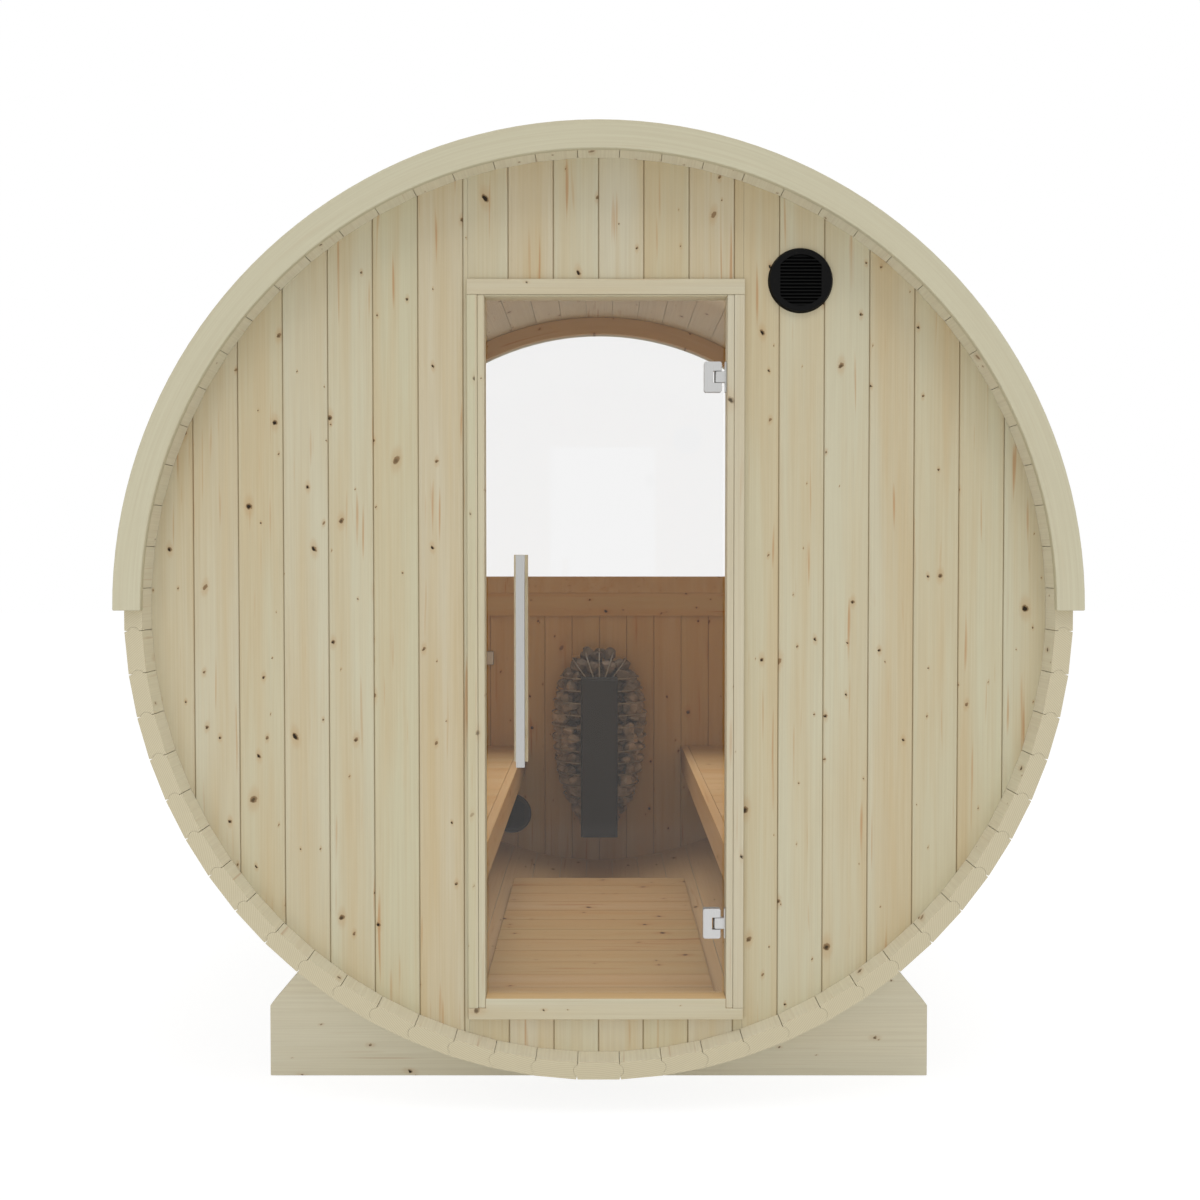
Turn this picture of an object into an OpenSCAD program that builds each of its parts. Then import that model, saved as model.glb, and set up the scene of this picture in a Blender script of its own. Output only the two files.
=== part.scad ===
// Barrel sauna: a round cabin of tongued staves on two cradles, with a glass door, a half-round rear
// window, two benches, a slatted floor and a wall-hung stone heater.
// The barrel lies along Y with its door end at -Y. Z is up from the ground, and X = 0 is the centre line.

/* [Barrel] */
// Diameter across the outer flats of the staves
barrel_d = 2270; // [2150:10:2400]
// Length of the staves
barrel_l = 2300; // [2000:10:2800]
// Number of staves, a multiple of four, so that one lies at the very bottom
stave_count = 68; // [64:4:72]
// Thickness of a stave
stave_t = 42; // [38:1:46]
// Radius of the rounded tongue on a stave's edge
tongue_r = 15; // [13:0.5:16]
// How far the tongue stands out of the edge
tongue_h = 9; // [6:0.5:10]
// Distance from the outer face to the middle of the tongue
tongue_inset = 20.5; // [19:0.5:23]
// Depth of the open vee between two staves, from the outer face
edge_vee_d = 6; // [3:0.5:6]
// Half width of that vee
edge_vee_w = 1.5; // [1:0.25:2]
// Gap in every timber joint
joint_gap = 0.5; // [0.4:0.1:0.8]
// Gap between two staves at their inner faces, where the joint stands open
inner_gap = 1.6; // [0.8:0.1:2.2]
// Height of the lowest stave above the ground
ground_gap = 90; // [60:5:140]

/* [Cradles] */
// Length of a cradle across the barrel
cradle_w = 1710; // [1560:10:1760]
// Thickness of a cradle along the barrel
cradle_t = 58; // [45:1:90]
// Height of a cradle's upright ends
cradle_end_h = 185; // [150:5:200]
// Angle of a cradle's shoulders from level
cradle_slope = 50; // [40:1:60]
// Distance from a stave's end to the outer face of the nearer cradle
cradle_inset = 255; // [200:5:400]

/* [Hoops] */
// Width of a steel hoop
hoop_w = 25; // [20:1:40]
// Thickness of a steel hoop
hoop_t = 1.2; // [1:0.1:2]
// Distance from a stave's end to the middle of the nearer hoop
hoop_inset = 520; // [420:10:700]
// Length of one tightening lug
lug_l = 36; // [30:1:50]
// Height of a tightening lug
lug_h = 13; // [10:0.5:15]

/* [Roof] */
// Thickness of a roof board
roof_board_t = 16; // [14:1:22]
// Number of roof boards, an even number
roof_board_count = 34; // [30:2:38]
// How far the roof reaches below the barrel's centre line
roof_drop = 2; // [1:1:40]
// Thickness of the arched end boards
arch_t = 20; // [16:1:30]
// How far an arched end board hides the staves' inner faces
arch_lip = 3; // [2:0.5:8]
// How far an arched end board stands above the roof boards' corners
arch_stand = 2; // [1:0.5:5]

/* [End walls] */
// Distance from a stave's end to the outer face of an end wall
wall_recess = 72; // [60:1:120]
// Thickness of the end walls
wall_t = 42; // [38:1:46]
// Depth of the groove in the staves that holds an end wall
croze_d = 8; // [6:0.5:12]
// Cover width of a wall board
wall_board_w = 110; // [95:0.5:125]
// Width of the vee between two wall boards
vee_w = 5; // [3:0.5:8]
// Depth of the vee between two wall boards
vee_d = 3; // [2:0.5:5]

/* [Door frame] */
// Distance of the doorway's middle from the centre line
door_x = 17.5; // [0:0.5:30]
// Clear width of the doorway
opening_w = 590; // [540:5:620]
// Distance from the staves' inner faces down to the doorway's top
door_drop = 336; // [320:1:450]
// Height of the sill's top above the floor boards
threshold_h = 61; // [55:1:90]
// Thickness of the jambs and the head
jamb_t = 40; // [36:1:50]
// Width of the side casing
casing_w = 25; // [20:1:40]
// Height of the head casing
casing_head_h = 38; // [25:1:50]
// Thickness of the casing
casing_t = 16; // [12:1:22]
// Width of jamb left showing beside the casing
casing_reveal = 17; // [12:1:30]
// Height of the head left showing under the casing
head_reveal = 4; // [3:0.5:15]
// How far the jambs and the head lie behind the casing's face
frame_set = 2; // [1:0.5:8]
// Height of the sill's full-width lower part
sill_foot_h = 28; // [20:1:35]
// Height of the sill between the jambs, above its lower part
sill_rise_h = 24; // [15:1:35]

/* [Glass door] */
// Thickness of the door glass
glass_t = 8; // [6:1:10]
// Gap round the glass
glass_gap = 6; // [5:0.5:8]
// Gap at the hinge side
hinge_side_gap = 8; // [7:0.5:10]
// Distance from the wall's outer face to the glass
glass_set = 8; // [6:1:12]
// Distance from the jamb to the hinge axis
hinge_axis_gap = 22; // [20:0.5:26]
// Distance of the upper hinge's middle from the doorway's top
upper_hinge_inset = 192; // [150:1:260]
// Distance of the lower hinge's middle from the doorway's bottom
lower_hinge_inset = 180; // [150:1:260]
// Height of a hinge
hinge_h = 74; // [60:1:90]
// Distance from the jamb to the far side of a hinge's clamp plate
clamp_reach = 55; // [50:1:60]
// Thickness of a clamp plate
clamp_t = 5; // [4:0.5:6]
// Size of the cut on a clamp plate's corners
clamp_ease = 3; // [2:0.5:5]
// Height of the knuckle
knuckle_h = 27; // [22:1:34]
// Radius of the knuckle
knuckle_r = 8; // [7:0.5:9]
// Radius of the hinge pin
pin_r = 4; // [3:0.5:5]
// Running clearance round the hinge pin
pin_gap = 0.05; // [0.02:0.01:0.1]
// Thickness of the plate on the jamb
jamb_plate_t = 4; // [2:0.5:4]

/* [Door handle] */
// Distance from the doorway's edge to the middle of the handle
handle_x = 88.5; // [60:0.5:120]
// Height of the handle's lower end above the sill
handle_z = 574; // [400:1:700]
// Length of the steel bar outside
bar_l = 513; // [400:1:700]
// Width of the steel bar
bar_w = 21; // [18:1:30]
// Depth of the steel bar
bar_d = 20; // [15:1:25]
// Length of the timber grip inside
grip_l = 516; // [400:1:700]
// Width of the timber grip
grip_w = 34; // [28:1:40]
// Depth of the timber grip
grip_d = 24; // [18:1:30]
// How much nearer to the door's edge the grip's middle lies than its posts
grip_shift = 4.5; // [0:0.5:5]
// Clear space between a bar and the glass
handle_stand = 38; // [34:1:50]
// Radius of a handle post
post_r = 7; // [6:0.5:9]
// Distance between the two handle posts
post_pitch = 380; // [250:5:390]
// Radius of the bolt through the glass
bolt_r = 4.8; // [4:0.1:6]

/* [Vents] */
// Radius of a vent's rim
vent_r = 79; // [74:1:90]
// Thickness of a vent's rim
vent_t = 10; // [8:0.5:14]
// Width of the rim above and below the slats
vent_rim_w = 17; // [13:1:20]
// Thickness of the plate behind the slats
vent_back_t = 2; // [1.5:0.5:3]
// Outer radius of the sleeve through the wall
sleeve_r = 54; // [50:1:56]
// Wall of the sleeve
sleeve_t = 3; // [2:0.5:5]
// Width of the slatted field
louvre_field_w = 100; // [80:1:104]
// Number of slats
louvre_count = 15; // [11:1:17]
// Thickness of a slat
louvre_t = 2.4; // [2:0.1:4]
// How much lower a slat's outer edge lies than its inner one
louvre_drop = 8; // [6:0.5:9]
// Space between the front vent's rim and the door casing
front_vent_gap = 57; // [30:1:80]
// Distance from the staves' inner faces to the front vent's middle
front_vent_inset = 157; // [110:1:200]
// Distance of the rear vent's middle from the centre line
rear_vent_x = 354; // [320:1:370]
// Height of the rear vent's middle above the floor
rear_vent_h = 113; // [105:1:160]

/* [Rear window] */
// Radial width of the window's arched trim
window_trim_w = 66; // [60:1:120]
// Height of the glass's visible lower edge above the barrel's axis
window_z = 54; // [0:1:120]
// Height of the trim below the glass
window_band_h = 66; // [40:1:90]
// Height of the cross rail below the trim
rail_h = 92; // [60:1:120]
// How far the trim and the rail stand out of the wall on each side
trim_proud = 14; // [8:1:20]
// Thickness of the window glass
window_t = 8; // [6:1:12]

/* [Floor] */
// Height of the floor's top above the lowest inner face
floor_rise = 75; // [65:1:110]
// Thickness of a floor board
floor_board_t = 28; // [22:1:34]
// Space between the floor's edge and the staves
floor_edge_gap = 13; // [6:1:30]
// Length of the floor from the door wall
floor_l = 1447; // [1200:10:1500]
// Number of floor boards
floor_board_count = 13; // [10:1:15]
// Gap between floor boards, and between bench slats
slat_gap = 3; // [2:0.5:6]
// Width of a floor bearer
bearer_w = 50; // [40:1:60]

/* [Benches] */
// Clear width between the benches, in line with the doorway
aisle_w = 626; // [560:2:680]
// Height of the seat above the floor
seat_h = 388; // [350:1:430]
// Thickness of a bench slat
slat_t = 28; // [22:1:34]
// Number of slats in a bench
slat_count = 18; // [14:1:22]
// Thickness of a bench's front board
apron_t = 28; // [22:1:34]
// Height of a bench's front board
apron_h = 98; // [80:1:120]
// Width and height of a batten under the slats
batten = 45; // [38:1:50]

/* [Heater] */
// Radius of the stone basket's round crown
crown_r = 165; // [150:1:170]
// Largest radius of the basket, at its belly
belly_r = 188; // [180:1:200]
// Distance of the belly below the crown's centre
belly_drop = 108; // [90:1:120]
// Height over which the belly rounds in upwards
belly_up = 271; // [250:1:290]
// Radius of the basket's foot
basket_foot_r = 75; // [60:1:90]
// Height of the basket's foot above the floor
basket_foot_h = 103; // [98:1:120]
// Thickness of the basket's wire
wire_d = 5; // [4:0.5:7]
// Number of level wires
level_wire_count = 11; // [8:1:11]
// Height of the top level wire above the crown's centre
top_wire_h = 54; // [40:1:56]
// Height of the lowest level wire above the basket's foot
low_wire_h = 119; // [110:1:140]
// Angle between the wires that fan over the crown
fan_step = 20; // [16:1:21]
// Width of the black column
column_w = 139; // [130:1:150]
// Depth of the black column
column_d = 90; // [75:1:100]
// Height of the black column
column_h = 603; // [590:1:640]
// Height of the column's foot above the floor
column_foot_h = 87; // [75:1:92]
// Height of the column's top above the crown's centre
column_over = 62; // [58:1:75]
// How far the column stands out of the basket
column_proud = 20; // [12:1:30]
// Distance from the backboard to the basket's axis
basket_back = 120; // [100:1:130]
// Width of the backboard
backboard_w = 218; // [190:1:240]
// Distance from the cross rail down to the backboard's top
backboard_drop = 158; // [130:1:180]
// Height of the backboard's foot above the floor
backboard_foot_h = 136; // [110:2:160]
// Thickness of the backboard
backboard_t = 20; // [16:1:26]

/* [Wall switch] */
// Side of the square box
switch_w = 54; // [45:1:70]
// Depth of the box
switch_d = 18; // [14:1:26]
// Distance of its middle from the centre line
switch_x = 453; // [430:1:480]
// Distance of its middle below the barrel's axis
switch_z = 274; // [240:1:300]

/* [Hidden] */
$fn = 240;

// Seat clearance between pieces that only rest against each other
seat_gap = 0.3;
// Overshoot of every cutting shape
cut = 10;

spruce = [0.80, 0.74, 0.60];
spruce_inside = [0.66, 0.48, 0.33];
steel = [0.75, 0.75, 0.76];
black = [0.08, 0.08, 0.09];
glass = [0.90, 0.93, 0.93, 0.3];
stone = [0.35, 0.32, 0.29];

// Barrel radii, and the height of its axis
r_out = barrel_d / 2;
r_in = r_out - stave_t;
axis_z = r_out + ground_gap;
half_step = 180 / stave_count;
end_y = barrel_l / 2;
r_tongue = r_out - tongue_inset;
tongue_centre = tongue_h - tongue_r - joint_gap / 2;
corner_half = r_out * tan(half_step) - edge_vee_w - joint_gap / 2;
r_corner = norm([r_out, corner_half]);

// End walls
front_out = -end_y + wall_recess;
front_in = front_out + wall_t;
rear_out = end_y - wall_recess;
rear_in = rear_out - wall_t;
r_croze = r_in + croze_d;
r_wall = r_croze - joint_gap;

// Hoops and roof
r_hoop = r_corner + seat_gap / 2;
r_roof = r_hoop + hoop_t + seat_gap;
roof_angle = 180 + 2 * asin(roof_drop / r_roof);
roof_step = roof_angle / roof_board_count;
r_arch_in = r_in - arch_lip;
r_arch_out = (r_roof + roof_board_t) / cos(roof_step / 2) + arch_stand;

// Heights from the barrel's axis
floor_z = -r_in + floor_rise;
floor_under = floor_z - floor_board_t;
floor_half_w = sqrt(r_in * r_in - floor_under * floor_under) - floor_edge_gap;
seat_z = floor_z + seat_h;
seat_under = seat_z - slat_t;

// Doorway
door_l = door_x - opening_w / 2;
door_r = door_x + opening_w / 2;
door_b = floor_z + threshold_h;
door_t = r_in - door_drop;
sill_b = door_b - sill_rise_h - sill_foot_h;
glass_y = front_out + glass_set;
glass_mid_y = glass_y + glass_t / 2;
hinge_x = door_r - hinge_axis_gap;
hinge_heights = [door_b + lower_hinge_inset, door_t - upper_hinge_inset];
notch_half_h = knuckle_h / 2 + 1;
notch_x = hinge_x - knuckle_r - 3;
block_wall = 7;
clamp_near = hinge_axis_gap - 10;
bar_x = door_l + handle_x;
bar_mid_z = door_b + handle_z + bar_l / 2;
post_heights = [bar_mid_z - post_pitch / 2, bar_mid_z + post_pitch / 2];
casing_out = casing_reveal + casing_w;
casing_foot = door_b - sill_rise_h + seat_gap;
casing_head = door_t + head_reveal;
frame_front = front_out - casing_t + frame_set;

// Vents
front_vent_x = door_r + casing_out + front_vent_gap + vent_r;
front_vent_z = sqrt(pow(r_in - front_vent_inset, 2) - pow(front_vent_x, 2));
rear_vent_z = floor_z + rear_vent_h;

// Rear window
window_rail_top = window_z - window_band_h;
rail_b = window_rail_top - rail_h;
pane_y = (rear_in + rear_out - window_t) / 2;

// Heater
backboard_y = rear_in - backboard_t;
basket_y = backboard_y - basket_back;
crown_h = column_foot_h + column_h - column_over;
crown_z = floor_z + crown_h;
basket_foot_z = floor_z + basket_foot_h;
column_y = basket_y - belly_r - column_proud;
column_back = belly_r + column_proud - column_d;
column_foot_z = floor_z + column_foot_h;
belly_down = (crown_h - belly_drop - basket_foot_h) / sqrt(1 - pow(basket_foot_r / belly_r, 2));
level_wire_pitch = (top_wire_h + crown_h - basket_foot_h - low_wire_h) / (level_wire_count - 1);

// Extrudes an outline in X and Z, measured from the barrel's axis, from y0 to y1
module along(y0, y1) {
    translate([0, y1, axis_z]) rotate([90, 0, 0]) linear_extrude(y1 - y0) children();
}

// Rectangle between two corners
module rect(x0, z0, x1, z1) {
    translate([x0, z0]) square([x1 - x0, z1 - z0]);
}

// Half-width of the barrel's inside at height z
function inside_half(z) = sqrt(r_in * r_in - z * z);

// Staves

// Round tongue of this stave (own = 1) or of its neighbour (own = -1) on the edge that side names
module tongue(side, own, grow) {
    rotate(side * half_step)
        translate([r_tongue, side * own * tongue_centre]) circle(tongue_r + grow);
}

// Outline of a stave that lies on the +X axis, with a tongue (1) or a groove (-1) on each edge
module stave_outline(edge_cw, edge_ccw) {
    edge_in = r_in * tan(half_step) - inner_gap / 2;
    r_vee = r_out - edge_vee_d;
    edge_vee = r_vee * tan(half_step) - joint_gap / 2;
    difference() {
        union() {
            polygon([
                [r_in, -edge_in], [r_vee, -edge_vee], [r_out, -corner_half],
                [r_out, corner_half], [r_vee, edge_vee], [r_in, edge_in]
            ]);
            if (edge_cw > 0) tongue(-1, 1, 0);
            if (edge_ccw > 0) tongue(1, 1, 0);
        }
        if (edge_cw < 0) tongue(-1, -1, joint_gap);
        if (edge_ccw < 0) tongue(1, -1, joint_gap);
    }
}

// Stave number k, counted from the bottom up the right side: tongues point up, away from the bottom stave
module stave(k) {
    half = stave_count / 2;
    edge_cw = k > 0 && k <= half ? -1 : 1;
    edge_ccw = k >= half ? -1 : 1;
    color(spruce) difference() {
        along(-end_y, end_y) rotate(k * 2 * half_step - 90) stave_outline(edge_cw, edge_ccw);
        along(front_out - joint_gap, front_in + joint_gap) circle(r_croze);
        along(rear_in - joint_gap, rear_out + joint_gap) circle(r_croze);
    }
}

// Steps of a stave from the bottom one, whichever side it is on
function steps_up(k) = min(k, stave_count - k);

module stave_group(from_step, to_step, left, right) {
    for (k = [0 : stave_count - 1]) {
        on_left = k > stave_count / 2;
        up = steps_up(k);
        if (up >= from_step && up <= to_step && (on_left ? left : right)) stave(k);
    }
}

bottom_last = floor(stave_count / 12);
lower_last = stave_count / 4;
crown_first = ceil(stave_count * 5 / 12);

// Cradles

// A board with a barrel-shaped seat and sloping shoulders
module cradle(y0) {
    half = cradle_w / 2;
    end_top = cradle_end_h - axis_z;
    color(spruce) along(y0, y0 + cradle_t) difference() {
        polygon([
            [-half, -axis_z], [half, -axis_z], [half, end_top],
            [0, end_top + half * tan(cradle_slope)], [-half, end_top]
        ]);
        circle(r_corner + seat_gap);
    }
}

// Hoops

// A steel band round the staves, drawn tight by a bolt through two lugs
module hoop(y) {
    lug_angle = -20;
    bolt_r = 4;
    difference() {
        along(y - hoop_w / 2, y + hoop_w / 2) circle(r_hoop + hoop_t);
        along(y - hoop_w / 2 - cut, y + hoop_w / 2 + cut) circle(r_hoop);
    }
    for (side = [-1, 1])
        along(y - hoop_w / 2, y + hoop_w / 2) rotate(lug_angle)
            translate([r_hoop + hoop_t / 2, side * lug_l - lug_l / 2]) square([lug_h, lug_l]);
    translate([0, y, axis_z]) rotate([0, -lug_angle, 0])
        translate([r_hoop + hoop_t + lug_h / 2, 0, -lug_l]) cylinder(h = 2 * lug_l, r = bolt_r);
}

module hoops() {
    color(steel) for (y = [hoop_inset - end_y, end_y - hoop_inset]) hoop(y);
}

// Roof

// A flat roof board that lies on the +X axis, with its outer edges eased
module roof_board_outline() {
    half = roof_step / 2;
    ease = 3;
    inner = r_roof * tan(half) - joint_gap / 2;
    r_top = r_roof + roof_board_t;
    outer = r_top * tan(half) - joint_gap / 2;
    polygon([
        [r_roof, -inner], [r_top - ease, -outer], [r_top, ease - outer],
        [r_top, outer - ease], [r_top - ease, outer], [r_roof, inner]
    ]);
}

module roof_boards(first, last) {
    color(spruce) for (k = [first : last])
        along(-end_y, end_y)
            rotate((k + 0.5) * roof_step + 90 - roof_angle / 2) roof_board_outline();
}

// The arched board on the staves' ends, cut level at its two feet
module arch_board(y0) {
    color(spruce) along(y0, y0 + arch_t) intersection() {
        difference() {
            circle(r_arch_out);
            circle(r_arch_in);
        }
        rect(-r_arch_out - cut, -roof_drop, r_arch_out + cut, r_arch_out + cut);
    }
}

// End walls

// Vees between the wall boards on one face of a wall: inward is +1 on a face that looks towards -Y
module board_vees(y, inward) {
    last = floor(r_wall / wall_board_w);
    for (k = [-last : last])
        translate([k * wall_board_w, y, axis_z - r_wall - cut])
            linear_extrude(2 * (r_wall + cut))
                polygon([[-vee_w / 2, 0], [0, inward * vee_d], [vee_w / 2, 0], [0, -inward * cut]]);
}

// A wall panel of upright boards: the part of the wall's disc inside the given rectangle
module wall_panel(y0, x0, z0, x1, z1) {
    color(spruce) difference() {
        along(y0, y0 + wall_t) intersection() {
            circle(r_wall);
            rect(x0, z0, x1, z1);
        }
        board_vees(y0, 1);
        board_vees(y0 + wall_t, -1);
    }
}

module vent_hole(x, z, y0) {
    along(y0 - cut, y0 + wall_t + cut) translate([x, z]) circle(sleeve_r + joint_gap);
}

rough_l = door_l - jamb_t;
rough_r = door_r + jamb_t;
rough_t = door_t + jamb_t;

module front_wall_left() {
    wall_panel(front_out, -r_wall, -r_wall, rough_l - joint_gap, r_wall);
}

module front_wall_right() {
    difference() {
        wall_panel(front_out, rough_r + joint_gap, -r_wall, r_wall, r_wall);
        color(spruce) vent_hole(front_vent_x, front_vent_z, front_out);
    }
}

module front_wall_over_door() {
    wall_panel(front_out, rough_l, rough_t + joint_gap, rough_r, r_wall);
}

module front_wall_under_door() {
    wall_panel(front_out, rough_l, -r_wall, rough_r, sill_b - joint_gap);
}

// Door frame

// A jamb on one side, with a lip that fills the space beside the casing
module door_jamb(side) {
    lip = casing_reveal - seat_gap;
    color(spruce) translate([door_x, 0, 0]) mirror([side < 0 ? 1 : 0, 0, 0]) {
        along(front_out, front_in) rect(opening_w / 2, casing_foot, opening_w / 2 + jamb_t, rough_t);
        along(frame_front, front_in)
            rect(opening_w / 2, casing_foot, opening_w / 2 + lip, casing_head - seat_gap);
    }
}

// The head between the jambs, with the same lip under the casing
module door_head() {
    left = door_l + seat_gap;
    right = door_r - seat_gap;
    color(spruce) {
        along(front_out, front_in) rect(left, door_t, right, rough_t);
        along(frame_front, front_in) rect(left, door_t, right, casing_head - seat_gap);
    }
}

// One sill: its foot runs under the jambs and the casing, and its upper part fits between the jambs
module door_sill() {
    color(spruce) {
        along(front_out - casing_t, front_out - seat_gap)
            rect(door_l - casing_out, sill_b, door_r + casing_out, sill_b + sill_foot_h);
        along(front_out - 2 * seat_gap, front_in) rect(rough_l, sill_b, rough_r, sill_b + sill_foot_h);
        along(front_out - casing_t, front_in)
            rect(door_l + seat_gap, sill_b, door_r - seat_gap, door_b);
    }
}

// Three trim boards on the face of the wall, which stand on the sill's foot
module door_casing() {
    top = casing_head - seat_gap;
    color(spruce) along(front_out - casing_t, front_out) {
        rect(door_l - casing_out, casing_foot, door_l - casing_reveal, top);
        rect(door_r + casing_reveal, casing_foot, door_r + casing_out, top);
        rect(door_l - casing_out, casing_head, door_r + casing_out, casing_head + casing_head_h);
    }
}

// Glass door

// The pane, cut out round each hinge and drilled for the handle
module door_glass() {
    pane_r = door_r - hinge_side_gap;
    color(glass) along(glass_y, glass_y + glass_t) difference() {
        rect(door_l + glass_gap, door_b + glass_gap, pane_r, door_t - glass_gap);
        for (z = hinge_heights)
            rect(notch_x - block_wall - joint_gap, z - notch_half_h - block_wall - joint_gap,
                pane_r + cut, z + notch_half_h + block_wall + joint_gap);
        for (z = post_heights)
            translate([bar_x, z]) circle(bolt_r + joint_gap / 2);
    }
}

// Outline of a clamp plate between two corners, with its corners cut off
module eased_rect(x0, z0, x1, z1) {
    ease = clamp_ease;
    polygon([
        [x0, z0 + ease], [x0 + ease, z0], [x1 - ease, z0], [x1, z0 + ease],
        [x1, z1 - ease], [x1 - ease, z1], [x0 + ease, z1], [x0, z1 - ease]
    ]);
}

// Two clamp plates with a block between them, notched for the knuckle, and the pin across the notch
module hinge_clamp(z) {
    plate_near = door_r - clamp_near;
    difference() {
        union() {
            for (y0 = [glass_y - clamp_t - seat_gap, glass_y + glass_t + seat_gap])
                along(y0, y0 + clamp_t)
                    eased_rect(door_r - clamp_reach, z - hinge_h / 2, plate_near, z + hinge_h / 2);
            along(glass_y - clamp_t, glass_y + glass_t + clamp_t)
                rect(notch_x - block_wall, z - notch_half_h - block_wall,
                    plate_near, z + notch_half_h + block_wall);
        }
        along(glass_y - clamp_t - cut, glass_y + glass_t + clamp_t + cut)
            rect(notch_x, z - notch_half_h, plate_near + cut, z + notch_half_h);
    }
    translate([hinge_x, glass_mid_y, axis_z + z - notch_half_h - block_wall / 2])
        cylinder(h = 2 * notch_half_h + block_wall, r = pin_r);
}

// A plate on the jamb with the knuckle that the pin turns in
module hinge_bracket(z) {
    plate_half = clamp_t + glass_t / 2;
    difference() {
        union() {
            translate([door_r - jamb_plate_t, glass_mid_y - plate_half, axis_z + z - hinge_h / 2])
                cube([jamb_plate_t, 2 * plate_half, hinge_h]);
            translate([hinge_x, glass_mid_y - knuckle_r, axis_z + z - knuckle_h / 2])
                cube([hinge_axis_gap - jamb_plate_t / 2, 2 * knuckle_r, knuckle_h]);
            translate([hinge_x, glass_mid_y, axis_z + z - knuckle_h / 2])
                cylinder(h = knuckle_h, r = knuckle_r);
        }
        translate([hinge_x, glass_mid_y, axis_z + z - knuckle_h])
            cylinder(h = 2 * knuckle_h, r = pin_r + pin_gap);
    }
}

// Round post of a handle along Y
module post(z, y0, y1, r) {
    along(y0, y1) translate([bar_x, z]) circle(r);
}

module door_bar_outside() {
    back = glass_y - handle_stand;
    color(steel) {
        along(back - bar_d, back)
            rect(bar_x - bar_w / 2, bar_mid_z - bar_l / 2, bar_x + bar_w / 2, bar_mid_z + bar_l / 2);
        for (z = post_heights) {
            post(z, back - bar_d / 2, glass_y - seat_gap, post_r);
            post(z, back, glass_y + glass_t, bolt_r);
        }
    }
}

module door_grip_inside() {
    face = glass_y + glass_t + seat_gap;
    front = face + handle_stand;
    grip_x = bar_x - grip_shift;
    color(spruce_inside) {
        along(front, front + grip_d)
            rect(grip_x - grip_w / 2, bar_mid_z - grip_l / 2, grip_x + grip_w / 2, bar_mid_z + grip_l / 2);
        for (z = post_heights) post(z, face, front + grip_d / 2, post_r);
    }
}

// Vents

// Round louvred cover on the face at y, standing out by vent_t in the direction that out gives. Its slats
// slope down outwards and overlap, in front of a plate that is open over the sleeve.
module grille(x, z, y, out) {
    field_r = vent_r - vent_rim_w;
    slat_d = vent_t - 2;
    pitch = 2 * field_r / louvre_count;
    color(black) translate([x, y, axis_z + z]) rotate([0, 0, out < 0 ? 0 : 180]) {
        difference() {
            rotate([90, 0, 0]) cylinder(h = vent_t, r1 = vent_r, r2 = vent_r - 4);
            rotate([90, 0, 0]) translate([0, 0, vent_back_t]) linear_extrude(vent_t) intersection() {
                circle(field_r);
                square([louvre_field_w, 2 * field_r], center = true);
            }
            rotate([90, 0, 0]) translate([0, 0, -cut]) cylinder(h = vent_t, r = sleeve_r - sleeve_t);
        }
        intersection() {
            rotate([90, 0, 0]) cylinder(h = vent_t, r = field_r + 1);
            for (k = [1 : louvre_count - 1])
                translate([-louvre_field_w / 2 - 1, 0, k * pitch - field_r]) rotate([90, 0, 90])
                    linear_extrude(louvre_field_w + 2) polygon([
                        [-1, louvre_drop / 2], [-1, louvre_drop / 2 - louvre_t],
                        [-1 - slat_d, -louvre_drop / 2 - louvre_t], [-1 - slat_d, -louvre_drop / 2]
                    ]);
        }
    }
}

// A grille on each face of a wall, the first of them with the sleeve through it
module vent(x, z, y0) {
    grille(x, z, y0, -1);
    grille(x, z, y0 + wall_t, 1);
    color(black) along(y0 - 1, y0 + wall_t - seat_gap) translate([x, z]) difference() {
        circle(sleeve_r);
        circle(sleeve_r - sleeve_t);
    }
}

// Rear wall and window

module rear_wall() {
    difference() {
        wall_panel(rear_in, -r_wall, -r_wall, r_wall, rail_b - seat_gap);
        color(spruce) vent_hole(-rear_vent_x, rear_vent_z, rear_in);
    }
}

// The part of the barrel's inside between two heights
module inside_band(r, z0, z1) {
    intersection() {
        circle(r);
        rect(-r - cut, z0, r + cut, z1);
    }
}

module rear_rail() {
    color(spruce) along(rear_in - trim_proud, rear_out + trim_proud)
        inside_band(r_in - seat_gap, rail_b, window_rail_top - seat_gap);
}

// Half-round trim that holds the pane from one side
module window_trim(y0, y1) {
    color(spruce) along(y0, y1) difference() {
        inside_band(r_in - seat_gap, window_rail_top, r_in);
        inside_band(r_in - window_trim_w, window_z, r_in);
    }
}

module rear_window_glass() {
    color(glass) along(pane_y, pane_y + window_t) inside_band(r_wall, window_rail_top + joint_gap, r_wall);
}

// Floor

module floor_boards() {
    pitch = floor_l / floor_board_count;
    start = front_in + seat_gap;
    color(spruce_inside) for (k = [0 : floor_board_count - 1])
        along(start + k * pitch, start + (k + 1) * pitch - slat_gap)
            rect(-floor_half_w, floor_under, floor_half_w, floor_z);
}

// Two bearers whose undersides follow the staves
module floor_bearers() {
    color(spruce_inside) for (side = [-1, 1])
        along(front_in + seat_gap, front_in + floor_l) intersection() {
            circle(r_in - seat_gap);
            translate([side * (floor_half_w - 1.5 * bearer_w) - bearer_w / 2, -r_in])
                square([bearer_w, r_in + floor_under - seat_gap]);
        }
}

// Benches

// Distance of a bench's front from the centre line: side is 1 on the right and -1 on the left
function bench_front(side) = aisle_w / 2 + side * door_x;

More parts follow.
